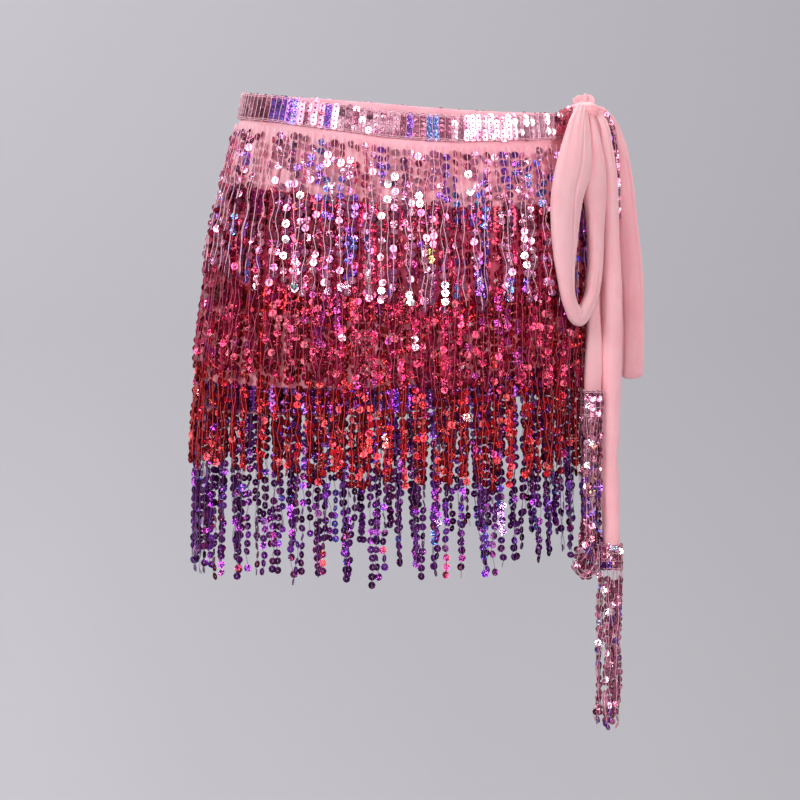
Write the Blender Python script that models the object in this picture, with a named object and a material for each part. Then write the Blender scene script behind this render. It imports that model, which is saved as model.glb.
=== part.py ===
# A belly dance hip scarf in its worn shape: an open wrap of thin cloth with a sequinned
# waistband and four rows of fringe trim, tied at the wearer's left hip with a bow whose two
# tails end in tassels. Metres, +Z up, the front faces -Y, and +X is the wearer's left.
# The origin is the middle of the waist that the band goes round.
from collections import namedtuple
from math import cos, pi, radians, sin

import bmesh
import bpy
import numpy as np
from mathutils import Vector

MM = 0.001

# Walls and seams
CLOTH = 1.2 * MM
BAND = 1.4 * MM
TAPE = 1.2 * MM
SEAM = 0.3 * MM
CURVED_SEAM = 0.5 * MM

# The scarf's rows, as drops below the band's top edge
BAND_HEIGHT = 20 * MM
ROW_SPACING = 72 * MM
TAPE_HEIGHT = 20 * MM
TOP_TAPE_HEIGHT = 4 * MM
HEM_DROP = 3 * ROW_SPACING + TAPE_HEIGHT

# Rings of the worn shape, by how far they lie below the band's top edge: half the width, how
# deep the front and the back are, and how far the ring is shifted to the wearer's left
Ring = namedtuple("Ring", "below half_width front back shift")
RINGS = [
    Ring(-30, 126, 89, 92, 1),
    Ring(0, 131, 92, 96, 0),
    Ring(20, 134.2, 95, 100, -0.8),
    Ring(50, 140, 99, 106, -2),
    Ring(72, 143, 102, 110, -3),
    Ring(110, 147.5, 105, 116, -6.5),
    Ring(144, 149.5, 107, 120, -8.5),
    Ring(190, 151.2, 108, 122, -12.2),
    Ring(236, 153, 108, 122, -14),
    Ring(400, 151, 108, 120, -14),
]
RING_POWER = 2.2

# The band dips at the front and towards the knot, and the lower rows rise towards the knot
FRONT_DIP = 11.5 * MM
KNOT_SIDE_DIP = 8 * MM
HIP_ARCH = 2.5 * MM
HEM_LIFT = 6.5 * MM
HEM_LIFT_KNOT_SIDE = 20.5 * MM
LIFT_POWER = 2.5

# Soft upright folds, which grow from nothing at the band
FOLDS = 7
FOLD_DEPTH = 1.4 * MM
FOLD_PHASE = 0.6

# The wrap's two ends, as turns from the front in degrees, at these drops below the top edge
END_DROPS = [0, 20, 72, 144, 236]
FRONT_END = [72.0, 76.0, 82.0, 79.0, 68.0]
BACK_END = [81.0, 84.0, 92.0, 101.0, 110.0]
COLUMNS = 80
CLOTH_DROPS = [0, 20, 46, 72, 108, 144, 190, 236]

# Fringe
STRANDS = 52
STRAND_WIDTH = 4.6 * MM
STRAND_LENGTH = 125 * MM
STRAND_STATIONS = (0.18, 0.4, 0.68, 1.0)
STRAND_TAPER = 0.8
LENGTH_SPREAD = 4 * MM
SPLAY = 0.038
SWAY = 2.2 * MM
SWAY_STEP = 2.4

# The knot, whose half sizes run out from the hip, along it and up. It sits a little below the
# place that the ties are measured from
KNOT_HALF = (11 * MM, 13 * MM, 6.5 * MM)
KNOT_POWER = 4
KNOT_CREASES = 5
KNOT_CREASE_DEPTH = 0.05
KNOT_GAP = 0.4 * MM
KNOT_TURN = 76.0
KNOT_RISE = 4.5 * MM
KNOT_SINK = 2.5 * MM
KNOT_SEGMENTS = 18
KNOT_RINGS = 10

# Gathered ties, as curled strips: places from the knot's middle, the strip's width across,
# and how deep its curl is
Station = namedtuple("Station", "out_x out_y up width curl")
TIE = 1.3 * MM
CURL_STEPS = 6
CURL_ANGLE = 118.0
TAIL_CURL_ANGLE = 140.0
FRONT_LOOP = [
    Station(-3, -9, -1, 9, 3),
    Station(-6, -18.5, -18.5, 22, 4.5),
    Station(-10, -28, -46, 33, 6),
    Station(-16, -34, -70, 31, 6),
    Station(-18, -36, -91.5, 28, 6),
    Station(-18.4, -37.6, -117, 21, 5.5),
    Station(-17.4, -38, -137, 15, 4.5),
    Station(-14.8, -36.2, -154, 12.5, 4.5),
    Station(-7, -29, -167, 13, 4.5),
    Station(2.2, -20, -152.5, 11.5, 4.5),
    Station(5.8, -15, -136, 12.5, 4.5),
    Station(7.2, -13.4, -116, 13.5, 4.5),
    Station(7, -12.8, -90.4, 17, 5),
    Station(6.8, -11.8, -69, 21, 5),
    Station(8.2, -9.5, -44, 15, 4),
    Station(5.2, -8, -17.6, 8, 3),
    Station(2, -2.5, -4, 5, 2),
]
SIDE_LOOP = [
    Station(4.5, 2.5, -0.5, 8, 2),
    Station(12.5, 8.8, -3.8, 9, 2.5),
    Station(20.5, 13, -13, 10, 3),
    Station(27, 17, -28, 11, 3),
    Station(31, 21.3, -50, 13, 3),
    Station(33.2, 25.3, -71, 15, 3),
    Station(35.2, 28.3, -94, 16.5, 3),
    Station(37.6, 30.3, -121, 17.5, 3),
    Station(39, 31.3, -146, 18, 3),
    Station(39.6, 31.8, -174, 17.5, 3),
    Station(39.4, 32.8, -201, 17, 2.5),
    Station(39.2, 38.3, -211.5, 17, 2),
    Station(39.4, 43.8, -202, 17, 2.5),
    Station(39.6, 45.8, -174, 17.5, 3),
    Station(39, 46.3, -146, 18, 3),
    Station(37.5, 46.3, -121, 17.5, 3),
    Station(34.8, 45.8, -94, 16, 3),
    Station(31.8, 43.3, -71, 14.5, 3),
    Station(28.5, 39.3, -50, 12.5, 3),
    Station(24, 32.3, -30, 11, 3),
    Station(18.5, 24.3, -17, 9.5, 3),
    Station(12, 16.3, -8.5, 9, 2.5),
    Station(5, 9.5, -3, 8, 2),
]
SHORT_TAIL = [
    Station(2, 5, -4, 6, 2.5),
    Station(5, 6.3, -22, 8, 2.5),
    Station(8, 6.6, -51, 10, 3),
    Station(9, 5, -88, 11, 3.5),
    Station(8.6, 2.6, -136, 13, 4),
    Station(6.4, -2.2, -181, 14, 4.5),
    Station(4.8, -7, -204, 13.5, 4.5),
    Station(3.9, -9, -224, 13.5, 4.5),
    Station(3.7, -9, -244, 13.5, 4.5),
]
LONG_TAIL = [
    Station(9, 0.5, -4, 6, 2.5),
    Station(15.5, -0.5, -16.5, 7, 2.5),
    Station(17, 0, -30, 9, 3),
    Station(19.5, 1.3, -51, 10.5, 3.5),
    Station(20.5, 1.3, -69, 11, 3.5),
    Station(20.6, 0.3, -109, 13.5, 4),
    Station(21.2, -1.4, -152, 16.5, 4.5),
    Station(20.8, -1, -200, 16.5, 4.5),
    Station(19.4, 0.3, -252, 16.5, 4.5),
    Station(18.6, 0.3, -276, 14.5, 4.5),
    Station(19.4, 0.3, -302, 16.5, 4.5),
    Station(20, 0.3, -325, 14, 5),
    Station(20, 0.3, -345, 14, 5),
    Station(20, 0.3, -365, 14, 5),
]
KNOT_EAR = [
    Station(0, -0.7, 1.5, 12, 2.5),
    Station(-1, -1.7, 5.5, 17, 3),
    Station(-1.5, -2.2, 10, 19, 2.5),
]
FRONT_LOOP_FACING = 40.0
SHORT_TAIL_FACING = 40.0
LONG_TAIL_FACING = 25.0
EAR_FACING = 20.0
TASSEL_GAP = 0.8 * MM
TASSEL_STRANDS = 8
TASSEL_STRAND_WIDTH = 3.6 * MM
TASSEL_LENGTH = 126 * MM
TASSEL_STATIONS = (0.2, 0.45, 0.72, 1.0)
TASSEL_GATHER = 0.25
TASSEL_WRAP = 1.35

# Colours, with roughness and metallic value
Finish = namedtuple("Finish", "red green blue roughness metallic")
CHIFFON = Finish(0.86, 0.42, 0.49, 0.75, 0.0)
PINK_SEQUIN = Finish(0.72, 0.38, 0.5, 0.25, 0.7)
ROSE_SEQUIN = Finish(0.55, 0.04, 0.14, 0.25, 0.7)
RED_SEQUIN = Finish(0.6, 0.02, 0.04, 0.25, 0.7)
PURPLE_SEQUIN = Finish(0.16, 0.04, 0.32, 0.25, 0.7)


def eased(places, values, at):
    """A smooth curve through the table's values, read at a place."""
    places = np.array(places, float)
    values = np.array(values, float)
    slopes = np.gradient(values, places)
    low = int(np.clip(np.searchsorted(places, at) - 1, 0, len(places) - 2))
    span = places[low + 1] - places[low]
    share = float(np.clip((at - places[low]) / span, 0, 1))
    square, cube = share**2, share**3
    start = (2 * cube - 3 * square + 1) * values[low] + (cube - 2 * square + share) * span * slopes[low]
    end = (3 * square - 2 * cube) * values[low + 1] + (cube - square) * span * slopes[low + 1]
    return float(start + end)


def ring_size(column, below):
    return eased([r.below for r in RINGS], [getattr(r, column) for r in RINGS], below / MM) * MM


def top_line(turn):
    """The height of the band's top edge."""
    return -FRONT_DIP * cos(turn) - KNOT_SIDE_DIP * sin(turn) - HIP_ARCH * cos(2 * turn)


def row_height(turn, drop):
    """The height of a line sewn parallel to the band, drop metres down the cloth."""
    lift = HEM_LIFT + HEM_LIFT_KNOT_SIDE * sin(turn)
    return top_line(turn) - drop + lift * max(0.0, drop / HEM_DROP) ** LIFT_POWER


def ring_place(turn, height):
    """The cloth's inner face, on the level ring at this height."""
    below = top_line(turn) - height
    ahead, aside = cos(turn), sin(turn)
    depth = ring_size("front" if ahead > 0 else "back", below)
    share = abs(ahead / depth) ** RING_POWER + abs(aside / ring_size("half_width", below)) ** RING_POWER
    grown = min(1.0, max(0.0, below / HEM_DROP))
    reach = share ** (-1 / RING_POWER) + FOLD_DEPTH * grown * cos(FOLDS * turn + FOLD_PHASE)
    return Vector((ring_size("shift", below) + reach * aside, -reach * ahead, height))


def ring_outward(turn, height):
    step = radians(0.5)
    along = ring_place(turn + step, height) - ring_place(turn - step, height)
    return Vector((along.y, -along.x, 0)).normalized()


def skirt_place(turn, height, out):
    return ring_place(turn, height) + ring_outward(turn, height) * out


def wrap_ends(drop):
    """The turns of the wrap's front end and back end on the line at this drop."""
    front = eased(END_DROPS, FRONT_END, drop / MM)
    back = eased(END_DROPS, BACK_END, drop / MM)
    return radians(front), radians(back - 360)


def even_turns():
    """Turns of evenly spaced places round the hips, from the front end to the back end."""
    turns = np.linspace(*wrap_ends(2 * ROW_SPACING), 721)
    places = [ring_place(turn, -2 * ROW_SPACING) for turn in turns]
    steps = [(b - a).length for a, b in zip(places, places[1:])]
    run = np.concatenate([[0], np.cumsum(steps)])
    return run / run[-1], turns, run[-1]


EVEN_SHARES, EVEN_TURNS, HIP_LENGTH = even_turns()


def wrap_turn(share, drop):
    """The turn at a share of the wrap's length, from its front end, on the line at this drop."""
    turn = np.interp(share, EVEN_SHARES, EVEN_TURNS)
    front, back = wrap_ends(drop)
    across = (turn - EVEN_TURNS[0]) / (EVEN_TURNS[-1] - EVEN_TURNS[0])
    return front + (back - front) * across


def material(name, finish):
    made = bpy.data.materials.new(name)
    made.use_nodes = True
    shader = made.node_tree.nodes["Principled BSDF"]
    shader.inputs["Base Color"].default_value = (finish.red, finish.green, finish.blue, 1)
    shader.inputs["Roughness"].default_value = finish.roughness
    shader.inputs["Metallic"].default_value = finish.metallic
    return made


def solid(name, mesh_work, finish):
    """A named object from a closed bmesh, with faces outwards."""
    bmesh.ops.recalc_face_normals(mesh_work, faces=mesh_work.faces)
    mesh = bpy.data.meshes.new(name)
    mesh_work.to_mesh(mesh)
    mesh_work.free()
    mesh.materials.append(material(name, finish))
    mesh.shade_smooth()
    mesh.set_sharp_from_angle(angle=radians(40))
    made = bpy.data.objects.new(name, mesh)
    bpy.context.scene.collection.objects.link(made)
    return made


def wall(name, rows, finish):
    """A closed wall from rows of (inner, outer) places, each row one line of the grid."""
    work = bmesh.new()
    grid = [[[work.verts.new(place) for place in pair] for pair in row] for row in rows]
    for upper, lower in zip(grid, grid[1:]):
        for a, b, c, d in zip(upper, upper[1:], lower[1:], lower):
            work.faces.new([a[0], b[0], c[0], d[0]])
            work.faces.new([a[1], b[1], c[1], d[1]])
    for row in (grid[0], grid[-1]):
        for a, b in zip(row, row[1:]):
            work.faces.new([a[0], b[0], b[1], a[1]])
    for side in (0, -1):
        for a, b in zip(grid, grid[1:]):
            work.faces.new([a[side][0], b[side][0], b[side][1], a[side][1]])
    return solid(name, work, finish)


def skirt_wall(name, drops, inner, thickness, finish):
    rows = []
    for drop in drops:
        row = []
        for column in range(COLUMNS + 1):
            turn = wrap_turn(column / COLUMNS, drop)
            height = row_height(turn, drop)
            row.append([skirt_place(turn, height, inner), skirt_place(turn, height, inner + thickness)])
        rows.append(row)
    return wall(name, rows, finish)


def fringe(name, place, tape_height, centres, half_share, lengths, stations, finish):
    """A tape with strands fused along its lower edge. place(share, down, side, strand) gives a
    point across the tape, down from its top edge, on its inner (0) or outer (1) side."""
    edges = [0.0]
    for centre in centres:
        edges += [centre - half_share, centre + half_share]
    edges.append(1.0)
    work = bmesh.new()

    def corner_pair(share, down, strand=None):
        return [work.verts.new(place(share, down, side, strand)) for side in (0, 1)]

    top = [corner_pair(share, 0.0) for share in edges]
    low = [corner_pair(share, tape_height) for share in edges]
    for i in range(len(edges) - 1):
        for side in (0, 1):
            work.faces.new([top[i][side], top[i + 1][side], low[i + 1][side], low[i][side]])
        work.faces.new([top[i][0], top[i + 1][0], top[i + 1][1], top[i][1]])
        if i % 2 == 0:
            work.faces.new([low[i][0], low[i + 1][0], low[i + 1][1], low[i][1]])
    for end in (0, -1):
        work.faces.new([top[end][0], low[end][0], low[end][1], top[end][1]])
    for strand, (centre, length) in enumerate(zip(centres, lengths)):
        first, second = low[1 + 2 * strand], low[2 + 2 * strand]
        ring = [first[0], second[0], second[1], first[1]]
        for station in stations:
            half = half_share * (1 - (1 - STRAND_TAPER) * station)
            left = corner_pair(centre - half, tape_height + length * station, strand)
            right = corner_pair(centre + half, tape_height + length * station, strand)
            lower = [left[0], right[0], right[1], left[1]]
            for k in range(4):
                work.faces.new([ring[k], ring[(k + 1) % 4], lower[(k + 1) % 4], lower[k]])
            ring = lower
        work.faces.new(ring)
    return solid(name, work, finish)


def skirt_fringe(name, row, drop, tape_height, finish):
    """One row of fringe, whose strands splay a little so that each row passes over the next."""
    inner = CLOTH + CURVED_SEAM

    def place(share, down, side, strand):
        turn = wrap_turn(share, drop)
        hung = max(0.0, down - tape_height)
        if strand is not None:
            drift = SWAY * (hung / STRAND_LENGTH) ** 2 * sin(SWAY_STEP * strand + row)
            turn -= drift / HIP_LENGTH * 2 * pi
        out = inner + TAPE * side + SPLAY * hung
        return skirt_place(turn, row_height(turn, drop) - down, out)

    centres = [(strand + 0.5) / STRANDS for strand in range(STRANDS)]
    lengths = [STRAND_LENGTH + LENGTH_SPREAD * sin(1.7 * strand + 2 * row) for strand in range(STRANDS)]
    half_share = STRAND_WIDTH / 2 / HIP_LENGTH
    return fringe(name, place, tape_height, centres, half_share, lengths, STRAND_STATIONS, finish)


def knot_frame():
    """The knot's middle and the ways out from the hip, along it and up."""
    turn = radians(KNOT_TURN)
    height = top_line(turn) + KNOT_RISE
    outward = ring_outward(turn, height)
    middle = skirt_place(turn, height, CLOTH + CURVED_SEAM + BAND + CURVED_SEAM + KNOT_HALF[0])
    return middle, outward, Vector((-outward.y, outward.x, 0))


KNOT_MIDDLE, KNOT_OUT, KNOT_ALONG = knot_frame()


def knot_shape(name, grown, finish):
    """A boxy rounded lump with soft creases round it. grown adds the same gap on every side."""
    work = bmesh.new()
    bmesh.ops.create_uvsphere(work, u_segments=KNOT_SEGMENTS, v_segments=KNOT_RINGS, radius=1)
    for vert in work.verts:
        way = vert.co.normalized()
        reach = sum(abs(part) ** KNOT_POWER for part in way) ** (-1 / KNOT_POWER)
        crease = 1 - KNOT_CREASE_DEPTH * (0.5 - 0.5 * cos(KNOT_CREASES * pi * way.y)) * (1 - abs(way.x))
        sizes = [half * reach * crease + grown for half in KNOT_HALF]
        vert.co = (
            KNOT_MIDDLE
            + KNOT_OUT * (way.x * sizes[0])
            + KNOT_ALONG * (way.y * sizes[1])
            + Vector((0, 0, 1)) * (way.z * sizes[2] - KNOT_SINK)
        )
    return solid(name, work, finish)


def tie_path(stations, steps):
    """Smooth stations of a tie: place, width and curl, steps between each two rows."""
    index = list(range(len(stations)))
    places = np.linspace(0, len(stations) - 1, (len(stations) - 1) * steps + 1)
    columns = [[getattr(s, column) for s in stations] for column in Station._fields]
    read = [[eased(index, values, at) * MM for values in columns] for at in places]
    return [(KNOT_MIDDLE + Vector(r[:3]), r[3], r[4]) for r in read]


def tie_frames(path, facing=None, across=None):
    """At each station: the ways across the strip and out of its curl."""
    frames = []
    for i, (place, _, _) in enumerate(path):
        before, after = path[max(i - 1, 0)][0], path[min(i + 1, len(path) - 1)][0]
        along = (after - before).normalized()
        if across is None:
            side = along.cross(facing).normalized()
        else:
            side = (across - along * across.dot(along)).normalized()
        frames.append((side, side.cross(along).normalized()))
    return frames


def facing_way(degrees):
    return Vector((sin(radians(degrees)), -cos(radians(degrees)), 0))


def curl_place(station, frame, share, out, curl_angle):
    """A place on a curled strip, at a share from one edge to the other, out from its middle."""
    place, width, curl = station
    side, outward = frame
    angle = radians(curl_angle) * (2 * share - 1)
    flat = Vector((sin(angle) * width / 2, cos(angle) * curl))
    normal = Vector((sin(angle) * curl, cos(angle) * width / 2)).normalized()
    at = flat + normal * out
    return place + side * at.x + outward * at.y


def tie(name, stations, curl_angle, steps, facing=None, across=None):
    path = tie_path(stations, steps)
    frames = tie_frames(path, facing, across)
    rows = [
        [
            [curl_place(station, frame, k / CURL_STEPS, out, curl_angle) for out in (-TIE / 2, TIE / 2)]
            for k in range(CURL_STEPS + 1)
        ]
        for station, frame in zip(path, frames)
    ]
    return wall(name, rows, CHIFFON)


def tassel(name, stations, facing, phase):
    """Fringe trim wrapped round the end of a tail, with its strands hanging from the tape."""
    path = tie_path(stations, 1)
    frames = tie_frames(path, facing)
    top, end = path[-2], path[-1]
    drop = (end[0] - top[0]).length

    def place(share, down, side, strand):
        part = min(down / drop, 1.0)
        mid = (
            top[0].lerp(end[0], part),
            top[1] + (end[1] - top[1]) * part,
            top[2] + (end[2] - top[2]) * part,
        )
        at = curl_place(mid, frames[-1], share, TIE / 2 + TASSEL_GAP + TAPE * side, TAIL_CURL_ANGLE)
        hung = max(0.0, down - drop)
        if hung == 0:
            return at
        part = hung / TASSEL_LENGTH
        sway = facing_way(90 * strand) * (SWAY * part * sin(SWAY_STEP * strand + phase))
        return at.lerp(mid[0], TASSEL_GATHER * part) - Vector((0, 0, hung)) + sway

    margin = 0.5 / (TASSEL_STRANDS + 1)
    centres = [margin + (1 - 2 * margin) * (s + 0.5) / TASSEL_STRANDS for s in range(TASSEL_STRANDS)]
    around = end[1] + 2 * end[2]
    lengths = [TASSEL_LENGTH + LENGTH_SPREAD * sin(2.1 * s + phase) for s in range(TASSEL_STRANDS)]
    half_share = TASSEL_STRAND_WIDTH / 2 / (around * TASSEL_WRAP)
    return fringe(name, place, drop, centres, half_share, lengths, TASSEL_STATIONS, PINK_SEQUIN)


def clear_of_knot(made, cutter):
    """Trims a tie where it comes out of the knot, leaving the seam's gap."""
    cut = made.modifiers.new("knot_gap", "BOOLEAN")
    cut.operation = "DIFFERENCE"
    cut.object = cutter


def main():
    for old in list(bpy.data.objects):
        bpy.data.objects.remove(old, do_unlink=True)
    skirt_wall("cloth_panel", [drop * MM for drop in CLOTH_DROPS], 0.0, CLOTH, CHIFFON)
    skirt_wall("waistband", [0.0, BAND_HEIGHT], CLOTH + CURVED_SEAM, BAND, PINK_SEQUIN)
    skirt_fringe("fringe_row_1_pink", 1, BAND_HEIGHT + SEAM, TOP_TAPE_HEIGHT, PINK_SEQUIN)
    skirt_fringe("fringe_row_2_rose", 2, ROW_SPACING, TAPE_HEIGHT, ROSE_SEQUIN)
    skirt_fringe("fringe_row_3_red", 3, 2 * ROW_SPACING, TAPE_HEIGHT, RED_SEQUIN)
    skirt_fringe("fringe_row_4_purple", 4, 3 * ROW_SPACING, TAPE_HEIGHT, PURPLE_SEQUIN)
    knot_shape("knot", 0.0, CHIFFON)
    cutter = knot_shape("knot_gap_cutter", KNOT_GAP, CHIFFON)
    cutter.hide_render = True
    cutter.display_type = "WIRE"
    ties = [
        tie("bow_loop_front", FRONT_LOOP, CURL_ANGLE, 2, facing=facing_way(FRONT_LOOP_FACING)),
        tie("bow_loop_side", SIDE_LOOP, CURL_ANGLE, 1, across=Vector((-1, 0, 0))),
        tie("tail_short", SHORT_TAIL, TAIL_CURL_ANGLE, 2, facing=facing_way(SHORT_TAIL_FACING)),
        tie("tail_long", LONG_TAIL, TAIL_CURL_ANGLE, 2, facing=facing_way(LONG_TAIL_FACING)),
        tie("knot_ear", KNOT_EAR, CURL_ANGLE, 2, facing=facing_way(EAR_FACING)),
    ]
    for made in ties:
        clear_of_knot(made, cutter)
    tassel("tassel_short", SHORT_TAIL, facing_way(SHORT_TAIL_FACING), 0.5)
    tassel("tassel_long", LONG_TAIL, facing_way(LONG_TAIL_FACING), 1.7)


main()
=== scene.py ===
import math

import bmesh
import bpy
import numpy as np
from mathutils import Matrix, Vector


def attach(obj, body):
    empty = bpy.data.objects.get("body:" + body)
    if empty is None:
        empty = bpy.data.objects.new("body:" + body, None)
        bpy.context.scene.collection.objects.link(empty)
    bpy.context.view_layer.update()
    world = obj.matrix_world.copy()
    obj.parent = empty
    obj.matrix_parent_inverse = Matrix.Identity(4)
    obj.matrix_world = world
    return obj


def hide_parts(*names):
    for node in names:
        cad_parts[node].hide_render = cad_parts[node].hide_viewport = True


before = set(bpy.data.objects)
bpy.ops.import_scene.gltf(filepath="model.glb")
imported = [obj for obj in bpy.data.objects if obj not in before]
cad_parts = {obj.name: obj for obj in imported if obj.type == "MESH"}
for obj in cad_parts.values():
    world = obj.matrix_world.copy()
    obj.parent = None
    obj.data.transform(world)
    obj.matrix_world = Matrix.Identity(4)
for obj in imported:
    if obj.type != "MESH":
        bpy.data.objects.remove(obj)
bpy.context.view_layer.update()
mm = 0.001
upright = np.array([0.0, 0.0, 1.0])

# the scarf's worn shape, ring by ring, same sizes as the solids
ringTable = {
    "below":     [-30, 0, 20, 50, 72, 110, 144, 190, 236, 400],
    "halfWidth": [126, 131, 134.2, 140, 143, 147.5, 149.5, 151.2, 153, 151],
    "front":     [89, 92, 95, 99, 102, 105, 107, 108, 108, 108],
    "back":      [92, 96, 100, 106, 110, 116, 120, 122, 122, 120],
    "shift":     [1, 0, -0.8, -2, -3, -6.5, -8.5, -12.2, -14, -14],
}
ringPower = 2.2
frontDip, knotSideDip, hipArch = 11.5 * mm, 8 * mm, 2.5 * mm
hemLift, hemLiftKnotSide, liftPower = 6.5 * mm, 20.5 * mm, 2.5
rowSpacing, tapeHeight, bandHeight = 72 * mm, 20 * mm, 20 * mm
hemDrop = 3 * rowSpacing + tapeHeight
hipRadius = 130 * mm  # about, to turn a step aside into an angle
folds, foldDepth, foldPhase = 7, 1.4 * mm, 0.6
# the open side: turns in degrees of the wrap's two ends, at drops in mm
endDrops = [0, 20, 72, 144, 236]
frontEnd, backEnd = [72, 76, 82, 79, 68], [81, 84, 92, 101, 110]
clothWall, seam = 1.2 * mm, 0.5 * mm
onCloth = clothWall + seam
tapeOut, discOut = onCloth + 0.3 * mm, onCloth + 0.9 * mm
splay = 0.038  # how far a strand stands off the cloth, for each length that it hangs


def unit(v):
    return v / np.maximum(np.linalg.norm(v, axis=-1, keepdims=True), 1e-9)


def stepLengths(path):
    return np.linalg.norm(np.diff(path, axis=0), axis=1)


def lengthsAlong(path):
    return np.concatenate([[0], np.cumsum(stepLengths(path))])


def smoothCurve(places, values, at):
    places, values = np.array(places, float), np.array(values, float)
    at = np.asarray(at, float)
    slopes = np.gradient(values, places)
    low = np.clip(np.searchsorted(places, at) - 1, 0, len(places) - 2)
    span = places[low + 1] - places[low]
    s = np.clip((at - places[low]) / span, 0, 1)
    a = (2 * s**3 - 3 * s**2 + 1) * values[low] + (s**3 - 2 * s**2 + s) * span * slopes[low]
    b = (3 * s**2 - 2 * s**3) * values[low + 1] + (s**3 - s**2) * span * slopes[low + 1]
    return a + b


def throughMarks(table, count):
    # a smooth run through a table's rows, each column of it, from mm to metres
    rows = np.array(table, float)
    at = np.linspace(0, len(rows) - 1, count)
    return np.stack([smoothCurve(np.arange(len(rows)), column, at) for column in rows.T], -1) * mm


def facingWay(degrees):
    a = math.radians(degrees)
    return np.array([math.sin(a), -math.cos(a), 0.0])


fineBelow = np.arange(-40, 420, 0.5)
fineRings = {c: smoothCurve(ringTable["below"], ringTable[c], fineBelow) * mm for c in ringTable}


def ringSize(column, below):
    return np.interp(below / mm, fineBelow, fineRings[column])


def topLine(turn):
    return -frontDip * np.cos(turn) - knotSideDip * np.sin(turn) - hipArch * np.cos(2 * turn)


def rowHeight(turn, drop):
    lift = hemLift + hemLiftKnotSide * np.sin(turn)
    return topLine(turn) - drop + lift * np.maximum(0.0, drop / hemDrop) ** liftPower


def ringPlace(turn, height):
    below = topLine(turn) - height
    ahead, aside = np.cos(turn), np.sin(turn)
    depth = np.where(ahead > 0, ringSize("front", below), ringSize("back", below))
    share = np.abs(ahead / depth) ** ringPower + np.abs(aside / ringSize("halfWidth", below)) ** ringPower
    grown = np.clip(below / hemDrop, 0, 1)
    reach = share ** (-1 / ringPower) + foldDepth * grown * np.cos(folds * turn + foldPhase)
    return np.stack([ringSize("shift", below) + reach * aside, -reach * ahead, height + 0 * reach], -1)


def ringOut(turn, height):
    step = math.radians(0.5)
    along = ringPlace(turn + step, height) - ringPlace(turn - step, height)
    return unit(np.stack([along[..., 1], -along[..., 0], 0 * along[..., 0]], -1))


def skirtPlace(turn, height, out):
    return ringPlace(turn, height) + ringOut(turn, height) * np.asarray(out)[..., None]


def wrapEnds(drop):
    front = smoothCurve(endDrops, frontEnd, drop / mm)
    back = smoothCurve(endDrops, backEnd, drop / mm)
    return np.radians(front), np.radians(back - 360)


# even steps round the hips, measured at the third trim
evenTurns = np.linspace(*wrapEnds(2 * rowSpacing), 721)
evenRun = lengthsAlong(ringPlace(evenTurns, -2 * rowSpacing + 0 * evenTurns))
hipLength = evenRun[-1]


def wrapTurn(share, drop):
    turn = np.interp(share, evenRun / hipLength, evenTurns)
    front, back = wrapEnds(drop)
    across = (turn - evenTurns[0]) / (evenTurns[-1] - evenTurns[0])
    return front + (back - front) * across


def link(name, verts, faces, mat, smooth=False):
    mesh = bpy.data.meshes.new(name)
    mesh.from_pydata(np.asarray(verts).tolist(), [], faces)
    mesh.materials.append(mat)
    if smooth:
        mesh.shade_smooth()
    ob = bpy.data.objects.new(name, mesh)
    bpy.context.scene.collection.objects.link(ob)
    return ob


def faceOutwards(ob, merge=0.0):
    bm = bmesh.new()
    bm.from_mesh(ob.data)
    if merge:
        bmesh.ops.remove_doubles(bm, verts=bm.verts, dist=merge)
    bmesh.ops.recalc_face_normals(bm, faces=bm.faces)
    bm.to_mesh(ob.data)
    bm.free()


def thicken(ob, thickness):
    mod = ob.modifiers.new("wall", "SOLIDIFY")
    mod.thickness = thickness
    mod.offset = 0.0


def gridFaces(rows, columns, flip=False):
    faces = []
    for r in range(rows - 1):
        for c in range(columns - 1):
            a = r * columns + c
            quad = (a, a + columns, a + columns + 1, a + 1)
            faces.append(quad[::-1] if flip else quad)
    return faces


def nodeSetup(name):
    mat = bpy.data.materials.new(name)
    mat.use_nodes = True
    return mat, mat.node_tree, mat.node_tree.nodes["Principled BSDF"]


def setSockets(tree, node, sockets):
    # a plain value is set, and another node's output is linked
    for key, value in sockets.items():
        if isinstance(value, bpy.types.NodeSocket):
            tree.links.new(value, node.inputs[key])
        else:
            node.inputs[key].default_value = value


def addNode(tree, kind, sockets=None, **settings):
    made = tree.nodes.new("ShaderNode" + kind)
    for key, value in settings.items():
        setattr(made, key, value)
    setSockets(tree, made, sockets or {})
    return made


def twoTones(tree, pattern, dark, light, low, high):
    ramp = addNode(tree, "ValToRGB", {"Fac": pattern.outputs["Fac"]})
    for stop, colour, place in zip(ramp.color_ramp.elements, (dark, light), (low, high)):
        stop.color = (*colour, 1)
        stop.position = place
    return ramp.outputs["Color"]


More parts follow.
